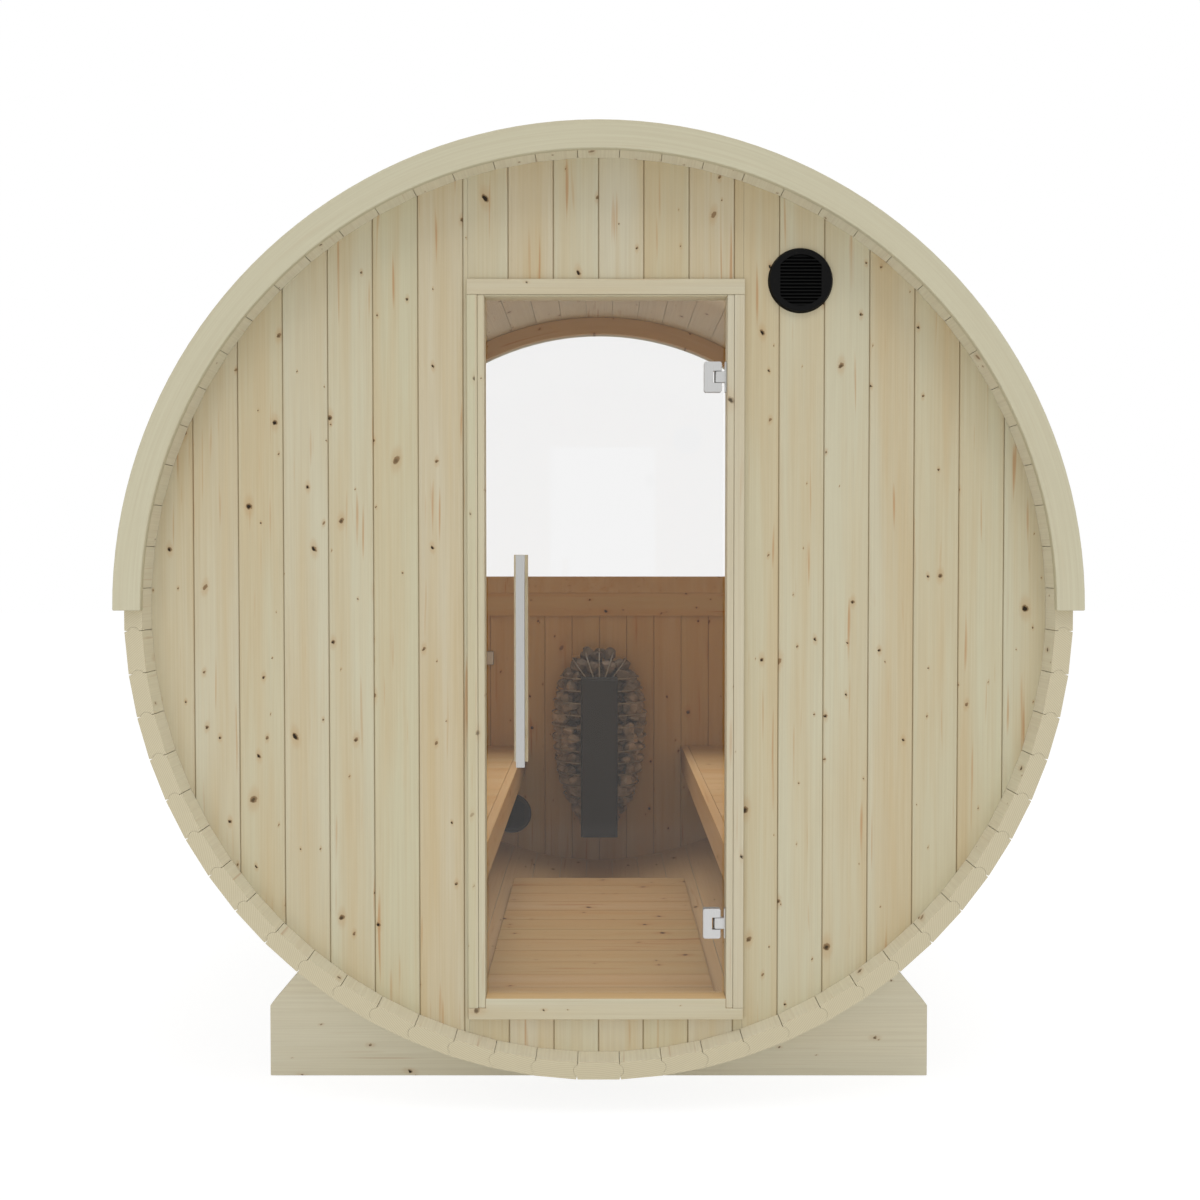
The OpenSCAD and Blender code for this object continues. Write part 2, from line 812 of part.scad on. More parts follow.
// Cross slats whose outer ends follow the staves
module bench_slats(side) {
    start = front_in + seat_gap;
    pitch = (rear_in - seat_gap - start) / slat_count;
    color(spruce_inside) for (k = [0 : slat_count - 1])
        along(start + k * pitch + slat_gap / 2, start + (k + 1) * pitch - slat_gap / 2)
            mirror([side < 0 ? 1 : 0, 0]) intersection() {
                circle(r_in - seat_gap);
                rect(bench_front(side) + apron_t + seat_gap, seat_under, r_in, seat_z);
            }
}

module bench_apron(side) {
    color(spruce_inside) along(front_in + seat_gap, rear_in - seat_gap)
        mirror([side < 0 ? 1 : 0, 0])
            rect(bench_front(side), seat_z - apron_h, bench_front(side) + apron_t, seat_z);
}

// One batten behind the apron, and one that seats on the staves
module bench_battens(side) {
    inner = bench_front(side) + apron_t + seat_gap;
    top = seat_under - seat_gap;
    outer = inside_half(top - batten);
    color(spruce_inside) along(front_in + seat_gap, rear_in - seat_gap)
        mirror([side < 0 ? 1 : 0, 0]) {
            rect(inner, top - batten, inner + batten, top);
            intersection() {
                circle(r_in - seat_gap);
                rect(outer - batten / 2, top - batten * 1.2, outer + batten / 2, top);
            }
        }
}

// Heater

// Radius at height dz above the crown's centre, so far inside the basket: the crown's ball, or the belly
// where that is wider
function belly_at(dz) =
    belly_r * sqrt(max(0, 1 - pow((dz + belly_drop) / (dz > -belly_drop ? belly_up : belly_down), 2)));
function ball_at(dz, r) = dz > 0 ? sqrt(max(0, r * r - dz * dz)) : 0;
function basket_at(dz, inset = 0) = max(belly_at(dz) - inset, ball_at(dz, crown_r - inset));

module heater_column() {
    ease = 6;
    color(black) along(column_y, column_y + column_d)
        rect(-column_w / 2, column_foot_z, column_w / 2, column_foot_z + column_h);
    color(black) along(column_y - ease, column_y + ease)
        rect(ease - column_w / 2, column_foot_z + ease, column_w / 2 - ease, column_foot_z + column_h - ease);
}

// Part of a round wire about Z, from one angle to another
module wire_arc(r, from, to) {
    rotate(from) rotate_extrude(angle = to - from) translate([r, 0]) circle(wire_d / 2, $fn = 24);
}

// A level wire in two halves: each leaves the column's side, or its back where the basket is narrow, and
// ends at the backboard
module level_wire(dz) {
    r = basket_at(dz) - wire_d / 2;
    r_inner = r - wire_d / 2;
    r_outer = r + wire_d / 2;
    at_side = asin(min(1, (column_w / 2 + seat_gap) / r_inner));
    at_back = acos(min(1, (column_back - seat_gap) / r_outer));
    start = r_inner * cos(at_side) > column_back ? at_side : at_back;
    stop = asin(min(1, (basket_back - seat_gap) / r_outer));
    for (side = [0, 1])
        translate([0, basket_y, axis_z + crown_z + dz]) mirror([side, 0, 0])
            wire_arc(r, start - 90, min(stop, 89));
}

// A wire that leaves the column's top and runs over the crown to the backboard
module fan_wire(angle) {
    r = crown_r - wire_d / 2;
    start = asin((column_over + seat_gap) / ((r - wire_d / 2) * cos(angle)));
    stop = 180 - acos((basket_back - seat_gap) / (r + wire_d / 2));
    translate([0, basket_y, axis_z + crown_z]) rotate([0, angle, 0]) rotate([90, 0, -90])
        wire_arc(r, start, stop);
}

module heater_basket() {
    color(steel) {
        for (k = [0 : level_wire_count - 1]) level_wire(top_wire_h - k * level_wire_pitch);
        for (k = [-2 : 2]) fan_wire(k * fan_step);
    }
}

// The heap of stones, just inside the wires, with room for the column
module heater_stones() {
    inset = wire_d + 2 * seat_gap;
    rings = 16;
    foot = basket_foot_z - crown_z;
    top = crown_r - inset;
    levels = [for (k = [0 : rings - 1]) foot + (top - foot) * sin(90 * k / rings)];
    profile = [for (dz = levels) [basket_at(dz, inset), dz]];
    color(stone) difference() {
        translate([0, basket_y, axis_z + crown_z]) rotate_extrude()
            polygon(concat([[0, foot]], profile, [[0, top]]));
        translate([-column_w / 2 - seat_gap, column_y - cut, axis_z + column_foot_z - cut])
            cube([column_w + 2 * seat_gap, column_d + seat_gap + cut, column_h + seat_gap + cut]);
        translate([-belly_r - cut, backboard_y - seat_gap, 0])
            cube([2 * (belly_r + cut), belly_r, 2 * axis_z]);
    }
}

module heater_backboard() {
    foot = floor_z + backboard_foot_h;
    color(spruce_inside) along(backboard_y, rear_in - seat_gap)
        rect(-backboard_w / 2, foot, backboard_w / 2, rail_b - backboard_drop);
}

module wall_switch() {
    half = switch_w / 2;
    color(steel) along(rear_in - switch_d, rear_in)
        rect(-switch_x - half, -switch_z - half, -switch_x + half, -switch_z + half);
}

cradle(-end_y + cradle_inset);  // cradle_front
cradle(end_y - cradle_inset - cradle_t);  // cradle_rear
stave_group(0, bottom_last, true, true);  // staves_bottom
stave_group(bottom_last + 1, lower_last, true, false);  // staves_lower_left
stave_group(bottom_last + 1, lower_last, false, true);  // staves_lower_right
stave_group(lower_last + 1, crown_first - 1, true, false);  // staves_upper_left
stave_group(lower_last + 1, crown_first - 1, false, true);  // staves_upper_right
stave_group(crown_first, stave_count, true, true);  // staves_crown
hoops();
roof_boards(0, roof_board_count / 2 - 1);  // roof_boards_right
roof_boards(roof_board_count / 2, roof_board_count - 1);  // roof_boards_left
arch_board(-end_y - arch_t);  // arch_board_front
arch_board(end_y);  // arch_board_rear
front_wall_left();
front_wall_right();
front_wall_over_door();
front_wall_under_door();
door_jamb(-1);  // door_jamb_left
door_jamb(1);  // door_jamb_right
door_head();
door_sill();
door_casing();
door_glass();
door_bar_outside();
door_grip_inside();
color(steel) for (z = hinge_heights) hinge_clamp(z);  // hinge_clamps
color(steel) for (z = hinge_heights) hinge_bracket(z);  // hinge_brackets
vent(front_vent_x, front_vent_z, front_out);  // front_vent
vent(-rear_vent_x, rear_vent_z, rear_in);  // rear_vent
rear_wall();
rear_rail();
window_trim(rear_in - trim_proud, pane_y - seat_gap);  // rear_window_trim_inside
rear_window_glass();
window_trim(pane_y + window_t + seat_gap, rear_out + trim_proud);  // rear_window_trim_outside
floor_boards();
floor_bearers();
bench_slats(-1);  // bench_slats_left
bench_slats(1);  // bench_slats_right
bench_apron(-1);  // bench_apron_left
bench_apron(1);  // bench_apron_right
bench_battens(-1);  // bench_battens_left
bench_battens(1);  // bench_battens_right
heater_column();
heater_basket();
heater_stones();
heater_backboard();
wall_switch();
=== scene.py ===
import math
import random

import bpy
from mathutils import Matrix, Vector


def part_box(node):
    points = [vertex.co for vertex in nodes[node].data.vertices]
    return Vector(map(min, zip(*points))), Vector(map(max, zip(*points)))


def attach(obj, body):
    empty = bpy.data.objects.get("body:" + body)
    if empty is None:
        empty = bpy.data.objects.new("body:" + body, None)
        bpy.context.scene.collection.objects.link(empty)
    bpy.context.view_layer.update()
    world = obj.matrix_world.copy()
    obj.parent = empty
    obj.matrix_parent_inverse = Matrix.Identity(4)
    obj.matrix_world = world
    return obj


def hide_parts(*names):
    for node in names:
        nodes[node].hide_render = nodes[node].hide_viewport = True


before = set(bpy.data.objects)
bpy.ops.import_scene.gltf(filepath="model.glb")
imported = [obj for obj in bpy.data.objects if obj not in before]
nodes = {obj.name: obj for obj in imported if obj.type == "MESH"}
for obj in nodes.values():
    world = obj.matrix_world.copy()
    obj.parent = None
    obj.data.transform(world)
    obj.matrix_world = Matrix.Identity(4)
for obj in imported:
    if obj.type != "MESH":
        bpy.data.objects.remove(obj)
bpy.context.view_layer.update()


# Staves
# The barrel is a ring of planed spruce staves with a round tongue and groove along their edges. Each runs
# the full length and is sawn square, so its ends show growth rings. Hoops draw them together.
AXIS_HEIGHT = 1.225
STAVE_OUTER_R = 1.135
STAVE_INNER_R = 1.093
STAVES = 68
STAVE_STEP = 2 * math.pi / STAVES
WALL_MIDDLE = 1.057


def linear(hex_colour):
    """An sRGB hex colour as the linear RGBA that shaders use."""
    channels = [int(hex_colour[i:i + 2], 16) / 255 for i in (1, 3, 5)]
    return tuple(c / 12.92 if c <= 0.04045 else ((c + 0.055) / 1.055) ** 2.4 for c in channels) + (1.0,)


def add(tree, kind, inputs=None, **settings):
    """Adds a node, sets its properties, and sets or links its inputs."""
    made = tree.nodes.new(kind)
    for key, value in settings.items():
        setattr(made, key, value)
    for key, value in (inputs or {}).items():
        if isinstance(value, bpy.types.NodeSocket):
            tree.links.new(value, made.inputs[key])
        else:
            made.inputs[key].default_value = value
    return made


def new_material(name):
    """An empty material with a Principled shader on its output."""
    material = bpy.data.materials.new(name)
    material.use_nodes = True
    tree = material.node_tree
    tree.nodes.clear()
    shader = add(tree, "ShaderNodeBsdfPrincipled")
    add(tree, "ShaderNodeOutputMaterial", {"Surface": shader.outputs[0]})
    return material, tree, shader


def dress(material, *names):
    """Gives a material to CAD nodes by name."""
    for name in names:
        mesh = nodes[name].data
        mesh.materials.clear()
        mesh.materials.append(material)


def eased(width, *names):
    """Rounds the edges of CAD nodes by a planer's touch of so many metres."""
    for name in names:
        weld = nodes[name].modifiers.new("joined_corners", "WELD")
        weld.merge_threshold = 0.00002
        bevel = nodes[name].modifiers.new("eased_edges", "BEVEL")
        bevel.width = width
        bevel.segments = 2
        bevel.limit_method = "ANGLE"
        bevel.angle_limit = math.radians(35)
        bevel.harden_normals = True


def knotted(tree, wood, place, cell, sizes, share, strength):
    """Lays knots over the wood, one in each cell of so many metres where its lot is over share. A knot is a
    leaning oval, sizes metres wide, with a dark heart off its middle and a rusty flare along the grain."""
    at = add(tree, "ShaderNodeVectorMath", {0: place, 1: (1 / cell[0], 1 / cell[1], 0)},
             operation="MULTIPLY").outputs[0]
    knot = add(tree, "ShaderNodeTexVoronoi", {"Vector": at, "Scale": 1.0}, voronoi_dimensions="2D")
    lot = add(tree, "ShaderNodeSeparateColor", {0: knot.outputs["Color"]}).outputs
    away = add(tree, "ShaderNodeVectorMath", {0: at, 1: knot.outputs["Position"]},
               operation="SUBTRACT").outputs[0]
    away = add(tree, "ShaderNodeVectorMath", {0: away, 1: (cell[0], cell[1], 0)},
               operation="MULTIPLY").outputs[0]

    # The edge is ragged by up to 3 mm, in lumps of 6 mm
    ragged = add(tree, "ShaderNodeTexNoise", {"Vector": place, "Scale": 170.0, "Detail": 2.0})
    ragged = add(tree, "ShaderNodeVectorMath", {0: ragged.outputs["Color"], 1: (0.5, 0.5, 0.5)},
                 operation="SUBTRACT").outputs[0]
    away = add(tree, "ShaderNodeVectorMath", {0: ragged, 1: (0.006, 0.006, 0), 2: away},
               operation="MULTIPLY_ADD").outputs[0]
    offsets = add(tree, "ShaderNodeSeparateXYZ", {0: away}).outputs
    lean = add(tree, "ShaderNodeMapRange", {0: lot[2], 3: -0.7, 4: 0.7}).outputs[0]
    ahead = add(tree, "ShaderNodeMath", {0: offsets[0], 1: lean, 2: offsets[1]},
                operation="MULTIPLY_ADD").outputs[0]
    oval = add(tree, "ShaderNodeCombineXYZ", {0: offsets[0], 1: ahead}).outputs[0]
    skewed = add(tree, "ShaderNodeMath", {0: lot[1], 1: 1.8}, operation="POWER").outputs[0]
    reach = add(tree, "ShaderNodeMapRange", {0: skewed, 3: sizes[0] / 2, 4: sizes[1] / 2}).outputs[0]
    there = add(tree, "ShaderNodeMath", {0: lot[0], 1: share}, operation="GREATER_THAN").outputs[0]
    flare_at = add(tree, "ShaderNodeVectorMath", {0: oval, 1: (1.0, 0.45, 0)},
                   operation="MULTIPLY").outputs[0]
    heart_at = add(tree, "ShaderNodeVectorMath", {0: oval, 1: (0.001, 0.0012, 0)},
                   operation="ADD").outputs[0]

    # Each layer has a colour, the shares of the knot's reach where it ends and is full, its cover and place
    rusty = ("#B08C60", 2.0, 0.6, 0.34, flare_at)
    brown = ("#806443", 1.0, 0.7, 0.85, oval)
    heart = ("#241B0E", 0.80, 0.25, 0.97, heart_at)
    for colour, outer, inner, most, spot in (rusty, brown, heart):
        far = add(tree, "ShaderNodeVectorMath", {0: spot}, operation="LENGTH").outputs["Value"]
        edge = add(tree, "ShaderNodeMath", {0: reach, 1: outer}, operation="MULTIPLY").outputs[0]
        full = add(tree, "ShaderNodeMath", {0: reach, 1: inner}, operation="MULTIPLY").outputs[0]
        cover = add(tree, "ShaderNodeMapRange", {0: far, 1: edge, 2: full, 3: 0.0, 4: most * strength},
                    interpolation_type="SMOOTHSTEP").outputs[0]
        cover = add(tree, "ShaderNodeMath", {0: cover, 1: there}, operation="MULTIPLY").outputs[0]
        if spot == heart_at:
            cover = add(tree, "ShaderNodeMath", {0: cover, 1: lot[2]}, operation="MULTIPLY").outputs[0]
            cover = add(tree, "ShaderNodeMath", {0: cover, 1: 2.2},
                        operation="MULTIPLY", use_clamp=True).outputs[0]
        wood = add(tree, "ShaderNodeMix", {0: cover, 6: wood, 7: linear(colour)}, data_type="RGBA").outputs[2]
    return wood


def spruce(name, lie, board=0.0, start=0.0, seed=0.0, warmth=1.0, knots=1.0, apart=1.0, painted_seam_shade=False,
           painted_shade_reach=WALL_MIDDLE, fading=None, pale=0.0, head=None):
    """Planed spruce, unfinished: pale and a little greenish, with soft tan bands along the grain, fine rings
    4 mm apart, small dark knots and rusty resin dashes. What lies in the cabin, as far from its middle as
    toasted says, is multiplied by a warm brown, a painted shade for the cabin's dim light, and less and less
    between the two heights of fading.

    lie says how the boards run, and head is the height over which they lie level. board is a board's width
    in metres, or its angle round the barrel, counted from start, and seed picks the log. warmth is how tan
    the bands are, pale how far the wood is lifted towards a pale cream, a painted light for faces that the
    lamps leave in shade, knots how strong the knots are, and apart how far apart.
    seam draws a brown line where two boards meet, a painted shade in the joint."""
    material, tree, shader = new_material(name)
    place = add(tree, "ShaderNodeTexCoord")
    xyz = add(tree, "ShaderNodeSeparateXYZ", {0: place.outputs["Object"]})
    normal = add(tree, "ShaderNodeSeparateXYZ", {0: place.outputs["Normal"]})
    x, y, z = xyz.outputs
    up = add(tree, "ShaderNodeMath", {0: z, 1: AXIS_HEIGHT}, operation="SUBTRACT").outputs[0]
    round_axis = add(tree, "ShaderNodeCombineXYZ", {0: x, 1: up})
    radius = add(tree, "ShaderNodeVectorMath", {0: round_axis.outputs[0]},
                 operation="LENGTH").outputs["Value"]

    # Staves are counted from the foot of the barrel, roof boards and arches from its crown
    if lie in ("stave", "roof", "arch"):
        down = add(tree, "ShaderNodeMath", {0: up, 1: -1.0}, operation="MULTIPLY").outputs[0]
        first = down if lie == "stave" else up
        angle = add(tree, "ShaderNodeMath", {0: x, 1: first}, operation="ARCTAN2").outputs[0]
        arc = add(tree, "ShaderNodeMath", {0: angle, 1: STAVE_OUTER_R}, operation="MULTIPLY").outputs[0]
    else:
        angle = arc = None
    across, along, depth, counted, end_on = {
        "stave": (arc, y, radius, angle, normal.outputs[1]),
        "roof": (arc, y, radius, angle, normal.outputs[1]),
        "arch": (radius, arc, y, angle, None),
        "upright": (x, z, y, x, normal.outputs[2]),
        "level": (z, x, y, z, normal.outputs[0]),
        "crosswise": (y, x, z, y, normal.outputs[0]),
        "lengthwise": (z, y, x, x, normal.outputs[1]),
    }[lie]
    if head:
        over = add(tree, "ShaderNodeMath", {0: z, 1: head}, operation="GREATER_THAN").outputs[0]
        across = counted = add(tree, "ShaderNodeMix", {0: over, 2: x, 3: z}).outputs[0]
        along = add(tree, "ShaderNodeMix", {0: over, 2: z, 3: x}).outputs[0]
        end_on = add(tree, "ShaderNodeMix", {0: over, 2: normal.outputs[2], 3: normal.outputs[0]}).outputs[0]

    # Every board comes from another place in the log
    vector = add(tree, "ShaderNodeCombineXYZ", {0: across, 1: along, 2: depth}).outputs[0]
    if board:
        shifted = add(tree, "ShaderNodeMath", {0: counted, 1: start}, operation="SUBTRACT").outputs[0]
        boards = add(tree, "ShaderNodeMath", {0: shifted, 1: board}, operation="DIVIDE").outputs[0]
        index = add(tree, "ShaderNodeMath", {0: boards}, operation="FLOOR").outputs[0]
        lot = add(tree, "ShaderNodeMath", {0: index, 1: seed}, operation="ADD").outputs[0]
        chance = add(tree, "ShaderNodeTexWhiteNoise", {"W": lot}, noise_dimensions="1D")
    else:
        chance = add(tree, "ShaderNodeTexWhiteNoise", {"W": seed}, noise_dimensions="1D")
    moved = add(tree, "ShaderNodeVectorMath",
                {0: chance.outputs["Color"], 1: (9, 9, 9), 2: vector}, operation="MULTIPLY_ADD").outputs[0]
    shares = add(tree, "ShaderNodeSeparateColor", {0: chance.outputs["Color"]})

    # Bands 60 mm wide and 1 m long, and rings every 4 mm
    band_at = add(tree, "ShaderNodeVectorMath", {0: moved, 1: (16, 0.8, 16)}, operation="MULTIPLY").outputs[0]
    band = add(tree, "ShaderNodeTexNoise", {"Vector": band_at, "Scale": 1.0, "Detail": 3.0, "Roughness": 0.6})
    ring_at = add(tree, "ShaderNodeVectorMath", {0: moved, 1: (240, 2.5, 240)},
                  operation="MULTIPLY").outputs[0]
    ring = add(tree, "ShaderNodeTexNoise", {"Vector": ring_at, "Scale": 1.0, "Detail": 2.0, "Roughness": 0.7})
    warm = add(tree, "ShaderNodeMapRange",
               {0: band.outputs[0], 1: 0.38, 2: 0.68, 3: 0.0, 4: 0.75 * warmth}).outputs[0]
    warm = add(tree, "ShaderNodeMath", {0: shares.outputs[0], 1: 0.35 * warmth, 2: warm},
               operation="MULTIPLY_ADD", use_clamp=True).outputs[0]
    wood = add(tree, "ShaderNodeMix", {0: shares.outputs[1], 6: linear("#C9C2AC"), 7: linear("#C3C0A4")},
               data_type="RGBA").outputs[2]
    wood = add(tree, "ShaderNodeMix", {0: warm, 6: wood, 7: linear("#C1B08D")}, data_type="RGBA").outputs[2]
    # Painted light: pale lifts the wood towards a pale cream where the lamps leave it in shade
    if pale:
        wood = add(tree, "ShaderNodeMix", {0: pale, 6: wood, 7: linear("#E2DCC6")},
                   data_type="RGBA").outputs[2]
    line = add(tree, "ShaderNodeMapRange", {0: ring.outputs[0], 1: 0.35, 2: 0.72, 3: 0.0, 4: 0.16}).outputs[0]
    wood = add(tree, "ShaderNodeMix", {0: line, 6: wood, 7: linear("#9A8360")}, data_type="RGBA").outputs[2]

    # Rusty resin dashes 4 mm wide and 120 mm long
    dash_at = add(tree, "ShaderNodeVectorMath", {0: moved, 1: (80, 3.2, 80)}, operation="MULTIPLY").outputs[0]
    dash = add(tree, "ShaderNodeTexNoise", {"Vector": dash_at, "Scale": 1.0, "Detail": 1.0})
    rust = add(tree, "ShaderNodeMapRange",
               {0: dash.outputs[0], 1: 0.68, 2: 0.78, 3: 0.0, 4: 0.65 * warmth}).outputs[0]
    wood = add(tree, "ShaderNodeMix", {0: rust, 6: wood, 7: linear("#AE7F50")}, data_type="RGBA").outputs[2]

    # Knots of 9 to 21 mm, and pin knots of 3 to 9 mm between them
    if knots:
        wood = knotted(tree, wood, moved, (0.17 * apart, 0.25 * apart), (0.009, 0.021), 0.22, knots)
        wood = knotted(tree, wood, moved, (0.12 * apart, 0.15 * apart), (0.003, 0.009), 0.20, knots)

    # Sawn ends show the rings as arcs, 4 mm apart
    if end_on is not None:
        cut_at = add(tree, "ShaderNodeVectorMath",
                     {0: chance.outputs["Color"], 1: (0.12, 0, 0.12), 2: vector},
                     operation="MULTIPLY_ADD").outputs[0]
        cut_at = add(tree, "ShaderNodeVectorMath", {0: cut_at, 1: (1, 0, 1)}, operation="MULTIPLY").outputs[0]
        arcs = add(tree, "ShaderNodeTexWave",
                   {"Vector": cut_at, "Scale": 70.0, "Distortion": 2.0, "Detail": 2.0, "Detail Scale": 0.6},
                   wave_type="RINGS", rings_direction="Y")
        sawn = add(tree, "ShaderNodeMix", {0: arcs.outputs[1], 6: linear("#CAC1A6"), 7: linear("#BDB294")},
                   data_type="RGBA").outputs[2]
        facing = add(tree, "ShaderNodeMath", {0: end_on}, operation="ABSOLUTE").outputs[0]
        facing = add(tree, "ShaderNodeMath", {0: facing, 1: 0.8}, operation="GREATER_THAN").outputs[0]
        wood = add(tree, "ShaderNodeMix", {0: facing, 6: wood, 7: sawn}, data_type="RGBA").outputs[2]

    # A brown line where two boards meet, 1.2 mm to each side, painted shade in the joint
    if painted_seam_shade:
        part = add(tree, "ShaderNodeMath", {0: boards}, operation="FRACT").outputs[0]
        side = add(tree, "ShaderNodeMath", {0: part, 1: 0.5}, operation="SUBTRACT").outputs[0]
        side = add(tree, "ShaderNodeMath", {0: side}, operation="ABSOLUTE").outputs[0]
        seam_shade_cover = add(tree, "ShaderNodeMapRange", {0: side, 1: 0.489, 2: 0.496, 3: 0.0, 4: 0.7}).outputs[0]
        wood = add(tree, "ShaderNodeMix", {0: seam_shade_cover, 6: wood, 7: linear("#6E5330")},
                   data_type="RGBA").outputs[2]

    # Painted shade indoors: the cabin's wood is multiplied by a warm brown that stands in for its dim light
    end_far = add(tree, "ShaderNodeMath", {0: y}, operation="ABSOLUTE").outputs[0]
    between = add(tree, "ShaderNodeMath", {0: end_far, 1: painted_shade_reach}, operation="LESS_THAN").outputs[0]
    inside = add(tree, "ShaderNodeMath", {0: radius, 1: STAVE_INNER_R + 0.0015},
                 operation="LESS_THAN").outputs[0]
    painted_cabin_shade = add(tree, "ShaderNodeMath", {0: between, 1: inside}, operation="MULTIPLY").outputs[0]
    if fading:
        kept = add(tree, "ShaderNodeMapRange", {0: z, 1: fading[0], 2: fading[1], 3: 1.0, 4: 0.15}).outputs[0]
        painted_cabin_shade = add(tree, "ShaderNodeMath", {0: painted_cabin_shade, 1: kept}, operation="MULTIPLY").outputs[0]
    wood = add(tree, "ShaderNodeMix", {0: painted_cabin_shade, 6: wood, 7: linear("#FFE3C4")},
               data_type="RGBA", blend_type="MULTIPLY").outputs[2]

    ridges = add(tree, "ShaderNodeBump", {"Strength": 0.2, "Distance": 0.0005, "Height": ring.outputs[0]})
    tree.links.new(wood, shader.inputs["Base Color"])
    tree.links.new(ridges.outputs[0], shader.inputs["Normal"])
    shader.inputs["Roughness"].default_value = 0.65
    shader.inputs["Specular IOR Level"].default_value = 0.25
    return material


# pale is painted light on the staves, lifting their inside faces that the lamps leave in shade
stave_spruce = spruce("spruce_staves", "stave", board=STAVE_STEP, start=-STAVE_STEP / 2, seed=3.0, warmth=0.6,
                      knots=0.8, fading=(1.1, 2.1), pale=0.65)
dress(stave_spruce, "staves_bottom", "staves_lower_left", "staves_lower_right", "staves_upper_left",
      "staves_upper_right", "staves_crown")


# Cradles
# Two wide spruce planks on edge, with a round seat and sloping shoulders sawn into them. They stand on the
# ground across the barrel and carry it.
PLANK = 0.3
# pale is painted light on the cradles, lifting them where they stand in the barrel's shade
cradle_spruce = spruce("spruce_cradles", "level", board=PLANK, seed=11.0, warmth=0.4, knots=0.8, pale=0.5)
dress(cradle_spruce, "cradle_front", "cradle_rear")
eased(0.002, "cradle_front", "cradle_rear")


# Hoops
# Two rolled stainless bands hold the staves together, each drawn tight by an M8 bolt through two lugs, with
# a hexagon head above and a nut below.
def brushed(name, colours, roughness, grain):
    """Drawn or brushed steel: a soft sheen with fine lines along one axis. grain is lines per metre along
    each axis, coarser than the real ones so that they show."""
    material, tree, shader = new_material(name)
    place = add(tree, "ShaderNodeTexCoord")
    lines_at = add(tree, "ShaderNodeVectorMath", {0: place.outputs["Object"], 1: grain}, operation="MULTIPLY")
    lines = add(tree, "ShaderNodeTexNoise", {"Vector": lines_at.outputs[0], "Scale": 1.0, "Detail": 3.0})
    rough = add(tree, "ShaderNodeMapRange",
                {0: lines.outputs[0], 1: 0.3, 2: 0.7, 3: roughness - 0.08, 4: roughness + 0.08})
    shade = add(tree, "ShaderNodeMix", {0: lines.outputs[0], 6: linear(colours[0]), 7: linear(colours[1])},
                data_type="RGBA")
    bump = add(tree, "ShaderNodeBump", {"Strength": 0.1, "Distance": 0.0002, "Height": lines.outputs[0]})
    tree.links.new(shade.outputs[2], shader.inputs["Base Color"])
    tree.links.new(rough.outputs[0], shader.inputs["Roughness"])
    tree.links.new(bump.outputs[0], shader.inputs["Normal"])
    shader.inputs["Metallic"].default_value = 1.0
    return material


def choose_upper(piece):
    """In edit mode, selects the faces of a piece that look up."""
    bpy.ops.mesh.select_mode(type="FACE")
    bpy.ops.mesh.select_all(action="DESELECT")
    bpy.ops.object.mode_set(mode="OBJECT")
    for face in piece.data.polygons:
        face.select = face.normal.z > 0.99
    bpy.ops.object.mode_set(mode="EDIT")


def hexagon(name, across_flats, height, end):
    """A bolt's head or nut that stands on the origin, with its rim turned off. end is how far the bolt's own
    end stands out of it, or 0."""
    bpy.ops.object.select_all(action="DESELECT")
    bpy.ops.mesh.primitive_cylinder_add(vertices=6, radius=across_flats / math.sqrt(3), depth=height,
                                        location=(0, 0, height / 2))
    bpy.ops.object.transform_apply(location=True)
    made = bpy.context.object
    made.name = name
    bpy.ops.object.mode_set(mode="EDIT")
    choose_upper(made)
    bpy.ops.mesh.bevel(offset=0.0009, segments=1, affect="EDGES")
    if end:
        choose_upper(made)
        bpy.ops.mesh.inset(thickness=0.0016)
        bpy.ops.mesh.extrude_region_move(TRANSFORM_OT_translate={"value": (0, 0, end)})
        bpy.ops.mesh.bevel(offset=0.0008, segments=1, affect="EDGES")
    bpy.ops.object.mode_set(mode="OBJECT")
    return made


def copied(model, matrix):
    """A copy of a model with its own mesh, put in place by moving the mesh."""
    twin = model.copy()
    twin.data = model.data.copy()
    twin.data.transform(matrix)
    bpy.context.scene.collection.objects.link(twin)
    return twin


def joined(parts, name):
    """Joins objects into one piece of that name."""
    bpy.ops.object.select_all(action="DESELECT")
    for part in parts:
        part.select_set(True)
    bpy.context.view_layer.objects.active = parts[0]
    if len(parts) > 1:
        bpy.ops.object.join()
    parts[0].name = name
    return parts[0]


hoop_steel = brushed("stainless_hoop", ("#B4B4B3", "#C4C4C2"), 0.38, (30, 900, 30))
dress(hoop_steel, "hoops")

HOOP_Y = 0.63
HOOP_BOLT_R = 1.1440
LUG_END = 0.054
LUG_DROP = 20
BOLT_FLATS = 0.013
BOLT_SEATED = 0.0002
lug_turn = Matrix.Rotation(math.radians(LUG_DROP), 4, "Y")
bolt_head = hexagon("hoop_bolt_head", BOLT_FLATS, height=0.0053, end=0.0)
bolt_nut = hexagon("hoop_bolt_nut", BOLT_FLATS, height=0.0065, end=0.006)
bolt_ends = []
for hoop_y in (-HOOP_Y, HOOP_Y):
    at_lugs = Matrix.Translation((0, hoop_y, AXIS_HEIGHT)) @ lug_turn
    upper_end = Matrix.Translation((HOOP_BOLT_R, 0, LUG_END - BOLT_SEATED))
    lower_end = Matrix.Translation((HOOP_BOLT_R, 0, BOLT_SEATED - LUG_END)) @ Matrix.Rotation(math.pi, 4, "X")
    bolt_ends += [copied(bolt_head, at_lugs @ upper_end), copied(bolt_nut, at_lugs @ lower_end)]
bpy.data.objects.remove(bolt_head)
bpy.data.objects.remove(bolt_nut)
hoop_bolts = joined(bolt_ends, "hoop_bolt_ends")
hoop_bolts.data.materials.append(hoop_steel)
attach(hoop_bolts, "cabin")


